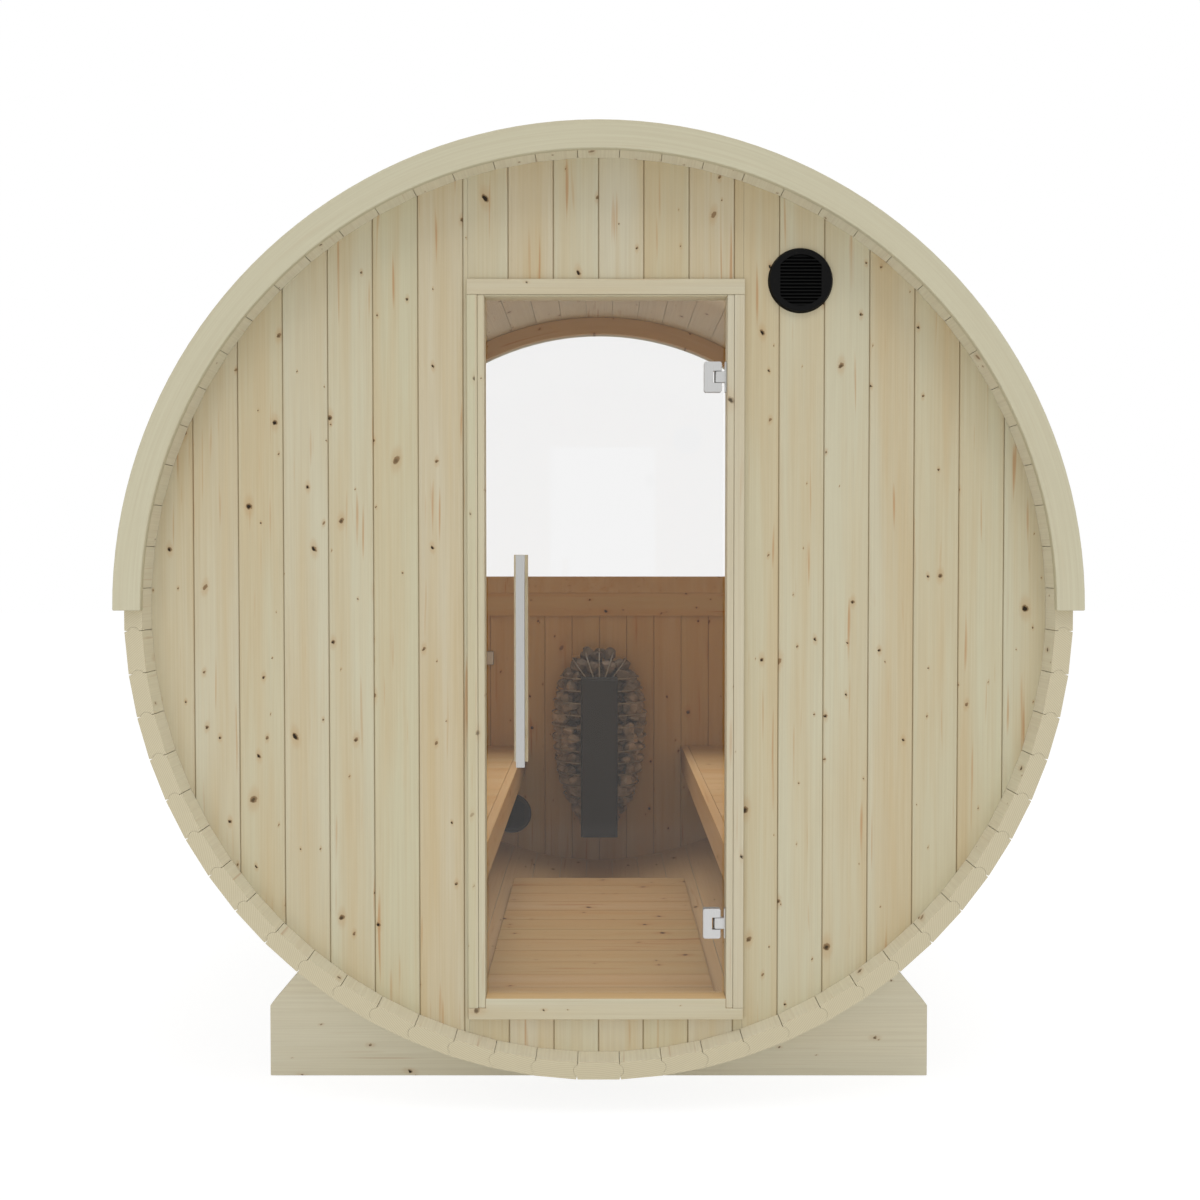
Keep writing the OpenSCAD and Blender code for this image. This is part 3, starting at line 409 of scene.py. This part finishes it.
# Roof
# Straight spruce boards over the upper half of the barrel, screwed down over the hoops with two screws at
# each of four lines, and an arched spruce board on each end that hides their ends and those of the staves.
ROOF_BOARDS = 34
ROOF_STEP = math.radians(5.30004)
roof_spruce = spruce("spruce_roof", "roof", board=ROOF_STEP, seed=23.0)
arch_spruce = spruce("spruce_arches", "arch", seed=31.0, warmth=0.1, knots=0.0)
dress(roof_spruce, "roof_boards_left", "roof_boards_right")
dress(arch_spruce, "arch_board_front", "arch_board_rear")
eased(0.0025, "arch_board_front", "arch_board_rear")


def countersunk(name, diameter):
    """A countersunk screw head that looks up from the origin, 0.3 mm proud, with a six-pointed recess."""
    bpy.ops.object.select_all(action="DESELECT")
    bpy.ops.mesh.primitive_cylinder_add(vertices=12, radius=diameter / 2, depth=0.0022,
                                        location=(0, 0, -0.0008))
    bpy.ops.object.transform_apply(location=True)
    made = bpy.context.object
    made.name = name
    bpy.ops.object.mode_set(mode="EDIT")
    choose_upper(made)
    bpy.ops.mesh.bevel(offset=0.0003, segments=1, affect="EDGES")
    choose_upper(made)
    bpy.ops.mesh.inset(thickness=0.17 * diameter)
    bpy.ops.mesh.extrude_region_move(TRANSFORM_OT_translate={"value": (0, 0, -0.0011)})
    bpy.ops.mesh.select_mode(type="VERT")
    bpy.ops.mesh.select_all(action="DESELECT")
    bpy.ops.object.mode_set(mode="OBJECT")
    inmost = min(math.hypot(v.co.x, v.co.y) for v in made.data.vertices)
    for v in made.data.vertices:
        sector = round(math.degrees(math.atan2(v.co.y, v.co.x)) / 30)
        v.select = math.hypot(v.co.x, v.co.y) < 1.01 * inmost and sector % 2 == 0
    bpy.ops.object.mode_set(mode="EDIT")
    bpy.ops.transform.resize(value=(0.6, 0.6, 1), center_override=(0, 0, 0))
    bpy.ops.object.mode_set(mode="OBJECT")
    return made


ROOF_SCREW = 0.008
SCREW_LINES = (-1.10, -0.40, 0.40, 1.10)
SCREW_ASIDE = 0.035
roof_points = [v.co for name in ("roof_boards_left", "roof_boards_right") for v in nodes[name].data.vertices]
crown_turn = math.pi / 2 - ROOF_STEP / 2
roof_flat_r = max(p.x * math.cos(crown_turn) + (p.z - AXIS_HEIGHT) * math.sin(crown_turn)
                  for p in roof_points)
roof_screw = countersunk("roof_screw", ROOF_SCREW)
on_axis = Matrix.Translation((0, 0, AXIS_HEIGHT))
screws = []
for k in range(ROOF_BOARDS):
    turn = (k + 0.5 - ROOF_BOARDS / 2) * ROOF_STEP
    for screw_y in SCREW_LINES:
        for aside in (-SCREW_ASIDE, SCREW_ASIDE):
            on_board = Matrix.Translation((aside, screw_y, roof_flat_r))
            screws.append(copied(roof_screw, on_axis @ Matrix.Rotation(turn, 4, "Y") @ on_board))
bpy.data.objects.remove(roof_screw)
roof_screws = joined(screws, "roof_screws")
roof_screws.data.materials.append(hoop_steel)
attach(roof_screws, "cabin")


# End walls
# Upright tongue-and-groove spruce boards of 110 mm cover, with a vee at every joint. They stand in a groove
# in the staves, and the front wall is cut round the doorway.
WALL_BOARD = 0.110
# Every joint gets a painted shade line down its vee
wall_spruce = spruce("spruce_wall_boards", "upright", board=WALL_BOARD, seed=47.0, painted_seam_shade=True)
dress(wall_spruce, "front_wall_left", "front_wall_right", "front_wall_over_door", "front_wall_under_door",
      "rear_wall")


# Door frame
# Planed spruce jambs, head and sill, with a casing of three thin boards on the face of the wall. The cabin's
# painted shade reaches over the top of the sill up to its front edge.
WALL_INSIDE = 1.036
SILL_FACE = 1.094
CASING_HEAD = 0.038
casing_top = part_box("door_casing")[1][2]
upright_spruce = spruce("spruce_upright_frame", "upright", board=PLANK, seed=59.0, warmth=0.5, knots=0.5,
                        painted_shade_reach=WALL_INSIDE + 0.0005)
level_spruce = spruce("spruce_level_frame", "level", board=PLANK, seed=67.0, warmth=0.5, knots=0.5,
                      painted_shade_reach=WALL_INSIDE + 0.0005)
sill_spruce = spruce("spruce_sill", "level", board=PLANK, seed=69.0, warmth=0.5, knots=0.7,
                     painted_shade_reach=SILL_FACE - 0.001)
casing_spruce = spruce("spruce_casing", "upright", board=PLANK, seed=59.0, warmth=0.5, knots=0.5,
                       painted_shade_reach=WALL_INSIDE + 0.0005, head=casing_top - CASING_HEAD)
dress(upright_spruce, "door_jamb_left", "door_jamb_right")
dress(casing_spruce, "door_casing")
dress(level_spruce, "door_head")
dress(sill_spruce, "door_sill")
eased(0.0018, "door_jamb_left", "door_jamb_right", "door_casing", "door_head", "door_sill")


# Glass door
# One pane of clear toughened glass of 8 mm, cut out for the hinges and drilled for the handle. The window
# in the rear wall is of the same glass.
def clear_glass(name, colour):
    """Float glass: it lets light straight through, and its outer faces mirror a little of the room."""
    material, tree, shader = new_material(name)
    tree.nodes.remove(shader)
    out = next(n for n in tree.nodes if n.type == "OUTPUT_MATERIAL")
    through = add(tree, "ShaderNodeBsdfTransparent", {0: linear(colour)})
    mirror = add(tree, "ShaderNodeBsdfGlossy", {0: linear("#FFFFFF"), "Roughness": 0.02})
    share = add(tree, "ShaderNodeFresnel", {"IOR": 1.5})
    face = add(tree, "ShaderNodeNewGeometry")
    outer = add(tree, "ShaderNodeMath", {0: 1.0, 1: face.outputs["Backfacing"]}, operation="SUBTRACT")
    share = add(tree, "ShaderNodeMath", {0: share.outputs[0], 1: outer.outputs[0]}, operation="MULTIPLY")
    both = add(tree, "ShaderNodeMixShader",
               {0: share.outputs[0], 1: through.outputs[0], 2: mirror.outputs[0]})
    tree.links.new(both.outputs[0], out.inputs["Surface"])
    return material


pane = clear_glass("clear_toughened_glass", "#FCFCFC")
dress(pane, "door_glass", "rear_window_glass")


# Door fittings
# Satin steel clamp hinges, screwed together from inside, a square satin steel bar outside, and a planed
# spruce grip inside.
satin_steel = brushed("satin_steel", ("#C2C2C1", "#D0D0CF"), 0.34, (500, 500, 20))
bar_steel = brushed("satin_steel_bar", ("#B6B6B4", "#C1C1BF"), 0.34, (600, 600, 15))
# The grip has none of the cabin's painted shade
grip_spruce = spruce("spruce_grip", "upright", board=PLANK, seed=71.0, knots=0.0, painted_shade_reach=0.0)
dress(satin_steel, "hinge_clamps", "hinge_brackets")
dress(bar_steel, "door_bar_outside")
dress(grip_spruce, "door_grip_inside")
eased(0.0008, "hinge_clamps", "hinge_brackets")
eased(0.0012, "door_bar_outside")
eased(0.003, "door_grip_inside")

HINGE_HALF = 0.037
HINGE_SCREW = 0.0068
HINGE_SCREW_X = 0.286
HINGE_SCREW_RISE = 0.018
clamp_low, clamp_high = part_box("hinge_clamps")
hinge_screw = countersunk("hinge_screw", HINGE_SCREW)
clamp_screws = []
for hinge_z in (clamp_low[2] + HINGE_HALF, clamp_high[2] - HINGE_HALF):
    for rise in (-HINGE_SCREW_RISE, HINGE_SCREW_RISE):
        face = Matrix.Translation((HINGE_SCREW_X, clamp_high[1], hinge_z + rise))
        clamp_screws.append(copied(hinge_screw, face @ Matrix.Rotation(-math.pi / 2, 4, "X")))
bpy.data.objects.remove(hinge_screw)
hinge_screws = joined(clamp_screws, "hinge_screws")
hinge_screws.data.materials.append(satin_steel)
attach(hinge_screws, "door")


# Vents
# Round slatted covers moulded in black plastic, one on each face of each end wall, over a sleeve. Those of
# the rear wall have a lighter grey copy of the plastic, painted light that lifts them in the dim cabin.
def moulded(name, colours, roughness, grit):
    """Plastic or paint with a fine even grit, grit metres across: matt, and a little uneven in shine."""
    material, tree, shader = new_material(name)
    place = add(tree, "ShaderNodeTexCoord")
    fine = add(tree, "ShaderNodeTexNoise",
               {"Vector": place.outputs["Object"], "Scale": 1 / grit, "Detail": 2.0})
    rough = add(tree, "ShaderNodeMapRange",
                {0: fine.outputs[0], 1: 0.3, 2: 0.7, 3: roughness - 0.07, 4: roughness + 0.07})
    shade = add(tree, "ShaderNodeMix", {0: fine.outputs[0], 6: linear(colours[0]), 7: linear(colours[1])},
                data_type="RGBA")
    bump = add(tree, "ShaderNodeBump", {"Strength": 0.05, "Distance": 0.0003, "Height": fine.outputs[0]})
    tree.links.new(shade.outputs[2], shader.inputs["Base Color"])
    tree.links.new(rough.outputs[0], shader.inputs["Roughness"])
    tree.links.new(bump.outputs[0], shader.inputs["Normal"])
    return material


PLASTIC_GRIT = 0.0016
vent_plastic = moulded("black_moulded_plastic", ("#020202", "#060606"), 0.55, PLASTIC_GRIT)
vent_plastic.node_tree.nodes["Principled BSDF"].inputs["Specular IOR Level"].default_value = 0.15
dress(vent_plastic, "front_vent")
# The rear vents get a lighter copy of the black plastic, painted light for the dim cabin
lighter_vent_plastic = moulded("black_plastic_painted_lighter", ("#2A2826", "#363330"), 0.5, PLASTIC_GRIT)
dress(lighter_vent_plastic, "rear_vent")


# Rear window
# A half-round pane between two arched spruce trims, over a cross rail that caps the wall boards.
window_spruce = spruce("spruce_window_arch", "arch", seed=83.0, knots=0.7, apart=0.7)
rail_spruce = spruce("spruce_rail", "level", board=PLANK, seed=89.0, apart=0.6)
dress(window_spruce, "rear_window_trim_inside", "rear_window_trim_outside")
dress(rail_spruce, "rear_rail")
eased(0.002, "rear_rail", "rear_window_trim_inside", "rear_window_trim_outside")


# Floor and benches
# Cross boards of planed spruce on bearers, and two benches of cross slats on battens behind a front board.
FLOOR_LENGTH = 1.447
FLOOR_BOARDS = 13
BENCH_SLATS = 18
BEARER = 0.1
floor_spruce = spruce("spruce_floor_boards", "crosswise", board=FLOOR_LENGTH / FLOOR_BOARDS,
                      start=-WALL_INSIDE, seed=97.0)
bench_spruce = spruce("spruce_bench_slats", "crosswise", board=2 * WALL_INSIDE / BENCH_SLATS,
                      start=-WALL_INSIDE, seed=101.0, knots=0.5)
bearer_spruce = spruce("spruce_bearers", "lengthwise", board=BEARER, seed=103.0)
dress(floor_spruce, "floor_boards")
dress(bench_spruce, "bench_slats_left", "bench_slats_right")
dress(bearer_spruce, "floor_bearers", "bench_apron_left", "bench_apron_right", "bench_battens_left",
      "bench_battens_right")
eased(0.0025, "floor_boards", "bench_slats_left", "bench_slats_right", "bench_apron_left",
      "bench_apron_right")


# Heater
# A black painted steel column in front of a basket of steel wire, hung on a spruce board on the rear wall.
column_paint = moulded("black_heatproof_paint", ("#1F1F1F", "#242423"), 0.6, 0.0012)
wire_steel = brushed("drawn_steel_wire", ("#A39E95", "#B5B0A7"), 0.4, (300, 300, 300))
BACKBOARD = 0.5
back_spruce = spruce("spruce_backboard", "upright", board=BACKBOARD, start=-BACKBOARD / 2, seed=107.0)
dress(column_paint, "heater_column")
dress(wire_steel, "heater_basket")
dress(back_spruce, "heater_backboard")
eased(0.002, "heater_column", "heater_backboard")


# Heater stones
# A heap of broken stones of 50 to 80 mm, packed by hand inside the wires, round the column and up to the
# board behind it.
def broken_stone(name):
    """Broken volcanic stone: grey to brown from place to place, rough, with pale mineral specks of 2 mm. The
    top of the heap is painted darker, a painted shade that holds down the light falling on it from above."""
    material, tree, shader = new_material(name)
    place = add(tree, "ShaderNodeTexCoord")
    lump = add(tree, "ShaderNodeTexNoise", {"Vector": place.outputs["Object"], "Scale": 22.0, "Detail": 4.0})
    grain = add(tree, "ShaderNodeTexNoise",
                {"Vector": place.outputs["Object"], "Scale": 420.0, "Detail": 3.0})
    shade = add(tree, "ShaderNodeMapRange", {0: lump.outputs[0], 1: 0.35, 2: 0.65})
    stone = add(tree, "ShaderNodeMix", {0: shade.outputs[0], 6: linear("#756757"), 7: linear("#B6A28E")},
                data_type="RGBA")
    speck = add(tree, "ShaderNodeMapRange", {0: grain.outputs[0], 1: 0.58, 2: 0.70, 3: 0.0, 4: 0.5})
    stone = add(tree, "ShaderNodeMix", {0: speck.outputs[0], 6: stone.outputs[2], 7: linear("#A59A8D")},
                data_type="RGBA")
    bump = add(tree, "ShaderNodeBump", {"Strength": 0.5, "Distance": 0.002, "Height": grain.outputs[0]})
    height = add(tree, "ShaderNodeSeparateXYZ", {0: place.outputs["Object"]}).outputs[2]
    # Painted shade: the top of the heap goes towards a dark grey-brown
    painted_top_shade = add(tree, "ShaderNodeMapRange", {0: height, 1: 0.72, 2: 0.94, 3: 0.0, 4: 0.6}).outputs[0]
    stone = add(tree, "ShaderNodeMix", {0: painted_top_shade, 6: stone.outputs[2], 7: linear("#2E2A26")},
                data_type="RGBA")
    tree.links.new(stone.outputs[2], shader.inputs["Base Color"])
    tree.links.new(bump.outputs[0], shader.inputs["Normal"])
    shader.inputs["Roughness"].default_value = 0.85
    return material


STONE_BREAKS = 5


def broken_lump(name, draws):
    """One angular stone about 1 m across: a ball, knocked about and cut by flat breaks."""
    bpy.ops.object.select_all(action="DESELECT")
    bpy.ops.mesh.primitive_ico_sphere_add(subdivisions=2, radius=0.5)
    lump = bpy.context.object
    lump.name = name
    bpy.ops.object.mode_set(mode="EDIT")
    bpy.ops.mesh.select_all(action="SELECT")
    bpy.ops.transform.vertex_random(offset=0.07, seed=draws.randint(1, 999))
    for cut in range(STONE_BREAKS):
        way = Vector((draws.uniform(-1, 1), draws.uniform(-1, 1), draws.uniform(-1, 1))).normalized()
        bpy.ops.mesh.select_all(action="SELECT")
        depth = draws.uniform(0.30, 0.42)
        bpy.ops.mesh.bisect(plane_co=way * depth, plane_no=way, use_fill=True, clear_outer=True)
    bpy.ops.mesh.select_all(action="SELECT")
    bpy.ops.mesh.normals_make_consistent(inside=False)
    bpy.ops.object.mode_set(mode="OBJECT")
    return lump


heap = [v.co for v in nodes["heater_stones"].data.vertices]
column = [v.co for v in nodes["heater_column"].data.vertices]
column_half = max(v.x for v in column)
column_rear = max(v.y for v in column)
column_top = max(v.z for v in column)
board_face = min(v.co.y for v in nodes["heater_backboard"].data.vertices)
heap_foot, heap_top = min(v.z for v in heap), max(v.z for v in heap)
heap_y = max(heap, key=lambda v: v.x).y
outline = []
for level in sorted({round(v.z, 4) for v in heap}):
    outline.append((level, max(math.hypot(v.x, v.y - heap_y) for v in heap if abs(v.z - level) < 0.0002)))


def heap_radius(z):
    """The heap's radius at a height, between the rings of its CAD solid."""
    low = max(ring for ring in outline if ring[0] <= z)
    high = min(ring for ring in outline if ring[0] > z)
    return low[1] + (high[1] - low[1]) * (z - low[0]) / (high[0] - low[0])


# Courses 40 mm high, each of an outer ring of stones and one behind it. What would stand in the column or
# the board is left out.
COURSE = 0.040
STONE_ROWS = (0.0, 0.055)
STONE_SPACING = 0.050
STONE_MIDDLE = 0.026
LEAST_RING = 0.02
OFF_COLUMN = 0.4
OFF_BOARD = 0.45
WHOLE_TURN = 6.28
draws = random.Random(20)
lumps = [broken_lump("stone_model_%d" % k, draws) for k in range(6)]
stones = []
courses = int((heap_top - heap_foot) / COURSE)
for k in range(courses):
    height = heap_foot + (k + 0.5) * (heap_top - heap_foot) / courses
    for row in STONE_ROWS:
        reach = heap_radius(height) - STONE_MIDDLE - row
        if reach < LEAST_RING:
            continue
        around = max(3, int(2 * math.pi * reach / STONE_SPACING))
        for n in range(around):
            turn = 2 * math.pi * (n + 0.5 * (k % 2) + draws.uniform(-0.2, 0.2)) / around
            size = draws.uniform(0.052, 0.070)
            rise = height + draws.uniform(-0.006, 0.006)
            spot = Vector((reach * math.sin(turn), heap_y - reach * math.cos(turn), rise))
            off = OFF_COLUMN * size
            in_column = abs(spot.x) < column_half + off and spot.y < column_rear + off
            if (in_column and spot.z < column_top + off) or spot.y > board_face - OFF_BOARD * size:
                continue
            tipped = Matrix.Rotation(draws.uniform(0, WHOLE_TURN), 4, "X")
            turned = Matrix.Rotation(draws.uniform(0, WHOLE_TURN), 4, "Z")
            spin = tipped @ turned
            width = size * draws.uniform(0.75, 1.0)
            thickness = size * draws.uniform(0.6, 0.85)
            squat = Matrix.Diagonal((size, width, thickness, 1.0))
            stones.append(copied(draws.choice(lumps), Matrix.Translation(spot) @ spin @ squat))
for lump in lumps:
    bpy.data.objects.remove(lump)
stone_heap = joined(stones, "loose_heater_stones")
heater_stone = broken_stone("broken_sauna_stone")
stone_heap.data.materials.append(heater_stone)
dress(heater_stone, "heater_stones")
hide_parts("heater_stones")
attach(stone_heap, "cabin")


# Wall switch
# A small satin aluminium box screwed to the rear wall.
switch_metal = brushed("satin_aluminium", ("#B4B4B2", "#C2C2C0"), 0.4, (30, 30, 600))
dress(switch_metal, "wall_switch")
eased(0.003, "wall_switch")


# Studio
# A pale floor under an even white sky. Soft lamps stand low in front, high over the front and behind, with a
# weak one in the cabin before its rear window. The camera, above the door's middle, looks down a little.
FLOOR_GLOW = 0.87
SKY_LIGHT = 0.62
SKY_SEEN = 1.0


def seen_directly(tree):
    """1 for a ray that shows the studio itself: from the camera, off a mirror or through glass."""
    ray = add(tree, "ShaderNodeLightPath").outputs
    seen = add(tree, "ShaderNodeMath", {0: ray["Is Camera Ray"], 1: ray["Is Glossy Ray"]},
               operation="MAXIMUM").outputs[0]
    return add(tree, "ShaderNodeMath", {0: seen, 1: ray["Is Transmission Ray"]},
               operation="MAXIMUM").outputs[0]


bpy.ops.object.select_all(action="DESELECT")
bpy.ops.mesh.primitive_plane_add(size=60, location=(0, 0, -0.0005))
floor = bpy.context.object
floor.name = "studio_floor"
pale, pale_tree, pale_shader = new_material("pale_studio_floor")
seen = seen_directly(pale_tree)
paint = add(pale_tree, "ShaderNodeMix", {0: seen, 6: linear("#E7E7E7"), 7: linear("#818181")},
            data_type="RGBA")
glow = add(pale_tree, "ShaderNodeMath", {0: seen, 1: FLOOR_GLOW}, operation="MULTIPLY")
pale_tree.links.new(paint.outputs[2], pale_shader.inputs["Base Color"])
pale_tree.links.new(glow.outputs[0], pale_shader.inputs["Emission Strength"])
pale_shader.inputs["Emission Color"].default_value = linear("#FFFFFF")
pale_shader.inputs["Roughness"].default_value = 1.0
pale_shader.inputs["Specular IOR Level"].default_value = 0.0
floor.data.materials.append(pale)

world = bpy.data.worlds.new("even_white_sky")
bpy.context.scene.world = world
world.use_nodes = True
sky = world.node_tree
sky.nodes.clear()
brightness = add(sky, "ShaderNodeMapRange", {0: seen_directly(sky), 3: SKY_LIGHT, 4: SKY_SEEN})
light = add(sky, "ShaderNodeBackground", {0: linear("#FFFFFF"), 1: brightness.outputs[0]})
add(sky, "ShaderNodeOutputWorld", {0: light.outputs[0]})


def soft_lamp(name, watts, size, place, target, spread=math.pi):
    """A large soft lamp, turned to its target, that neither the camera nor a mirror sees."""
    lamp = bpy.data.lights.new(name, "AREA")
    lamp.shape = "RECTANGLE"
    lamp.size, lamp.size_y = size
    lamp.energy = watts
    lamp.spread = spread
    stand = bpy.data.objects.new(name, lamp)
    stand.location = place
    stand.rotation_euler = (Vector(target) - Vector(place)).to_track_quat("-Z", "Y").to_euler()
    stand.visible_camera = stand.visible_glossy = stand.visible_transmission = False
    bpy.context.scene.collection.objects.link(stand)


soft_lamp("low_softbox", watts=46.0, size=(6.0, 1.1), place=(-0.3, -4.6, 0.62), target=(0.0, -1.1, 0.8))
soft_lamp("top_softbox", watts=215.0, size=(4.0, 4.0), place=(0.8, -4.4, 9.0), target=(0.0, -0.8, 1.2))
soft_lamp("rear_softbox", watts=50.0, size=(5.0, 1.2), place=(0.0, 5.2, 2.40), target=(0.0, 1.1, 1.3))
soft_lamp("window_glow", watts=13.0, size=(1.0, 0.7), place=(0.0, 0.74, AXIS_HEIGHT + 0.50),
          target=(0.0, -0.65, AXIS_HEIGHT - 0.16), spread=math.radians(146))

CAMERA_BACK = 4.332
CAMERA_RISE = 0.1146
CAMERA_DROP = 1.432
camera = bpy.data.cameras.new("photo_camera")
camera.sensor_width = 36.0
camera.lens = 39.93
camera.shift_x = -0.0004
camera.shift_y = -0.0043
camera_object = bpy.data.objects.new("photo_camera", camera)
camera_object.location = (0.0046, -CAMERA_BACK, AXIS_HEIGHT + CAMERA_RISE)
camera_object.rotation_euler = (math.radians(90 - CAMERA_DROP), 0, 0)
bpy.context.scene.collection.objects.link(camera_object)
bpy.context.scene.camera = camera_object
bpy.context.scene.view_settings.view_transform = "Standard"
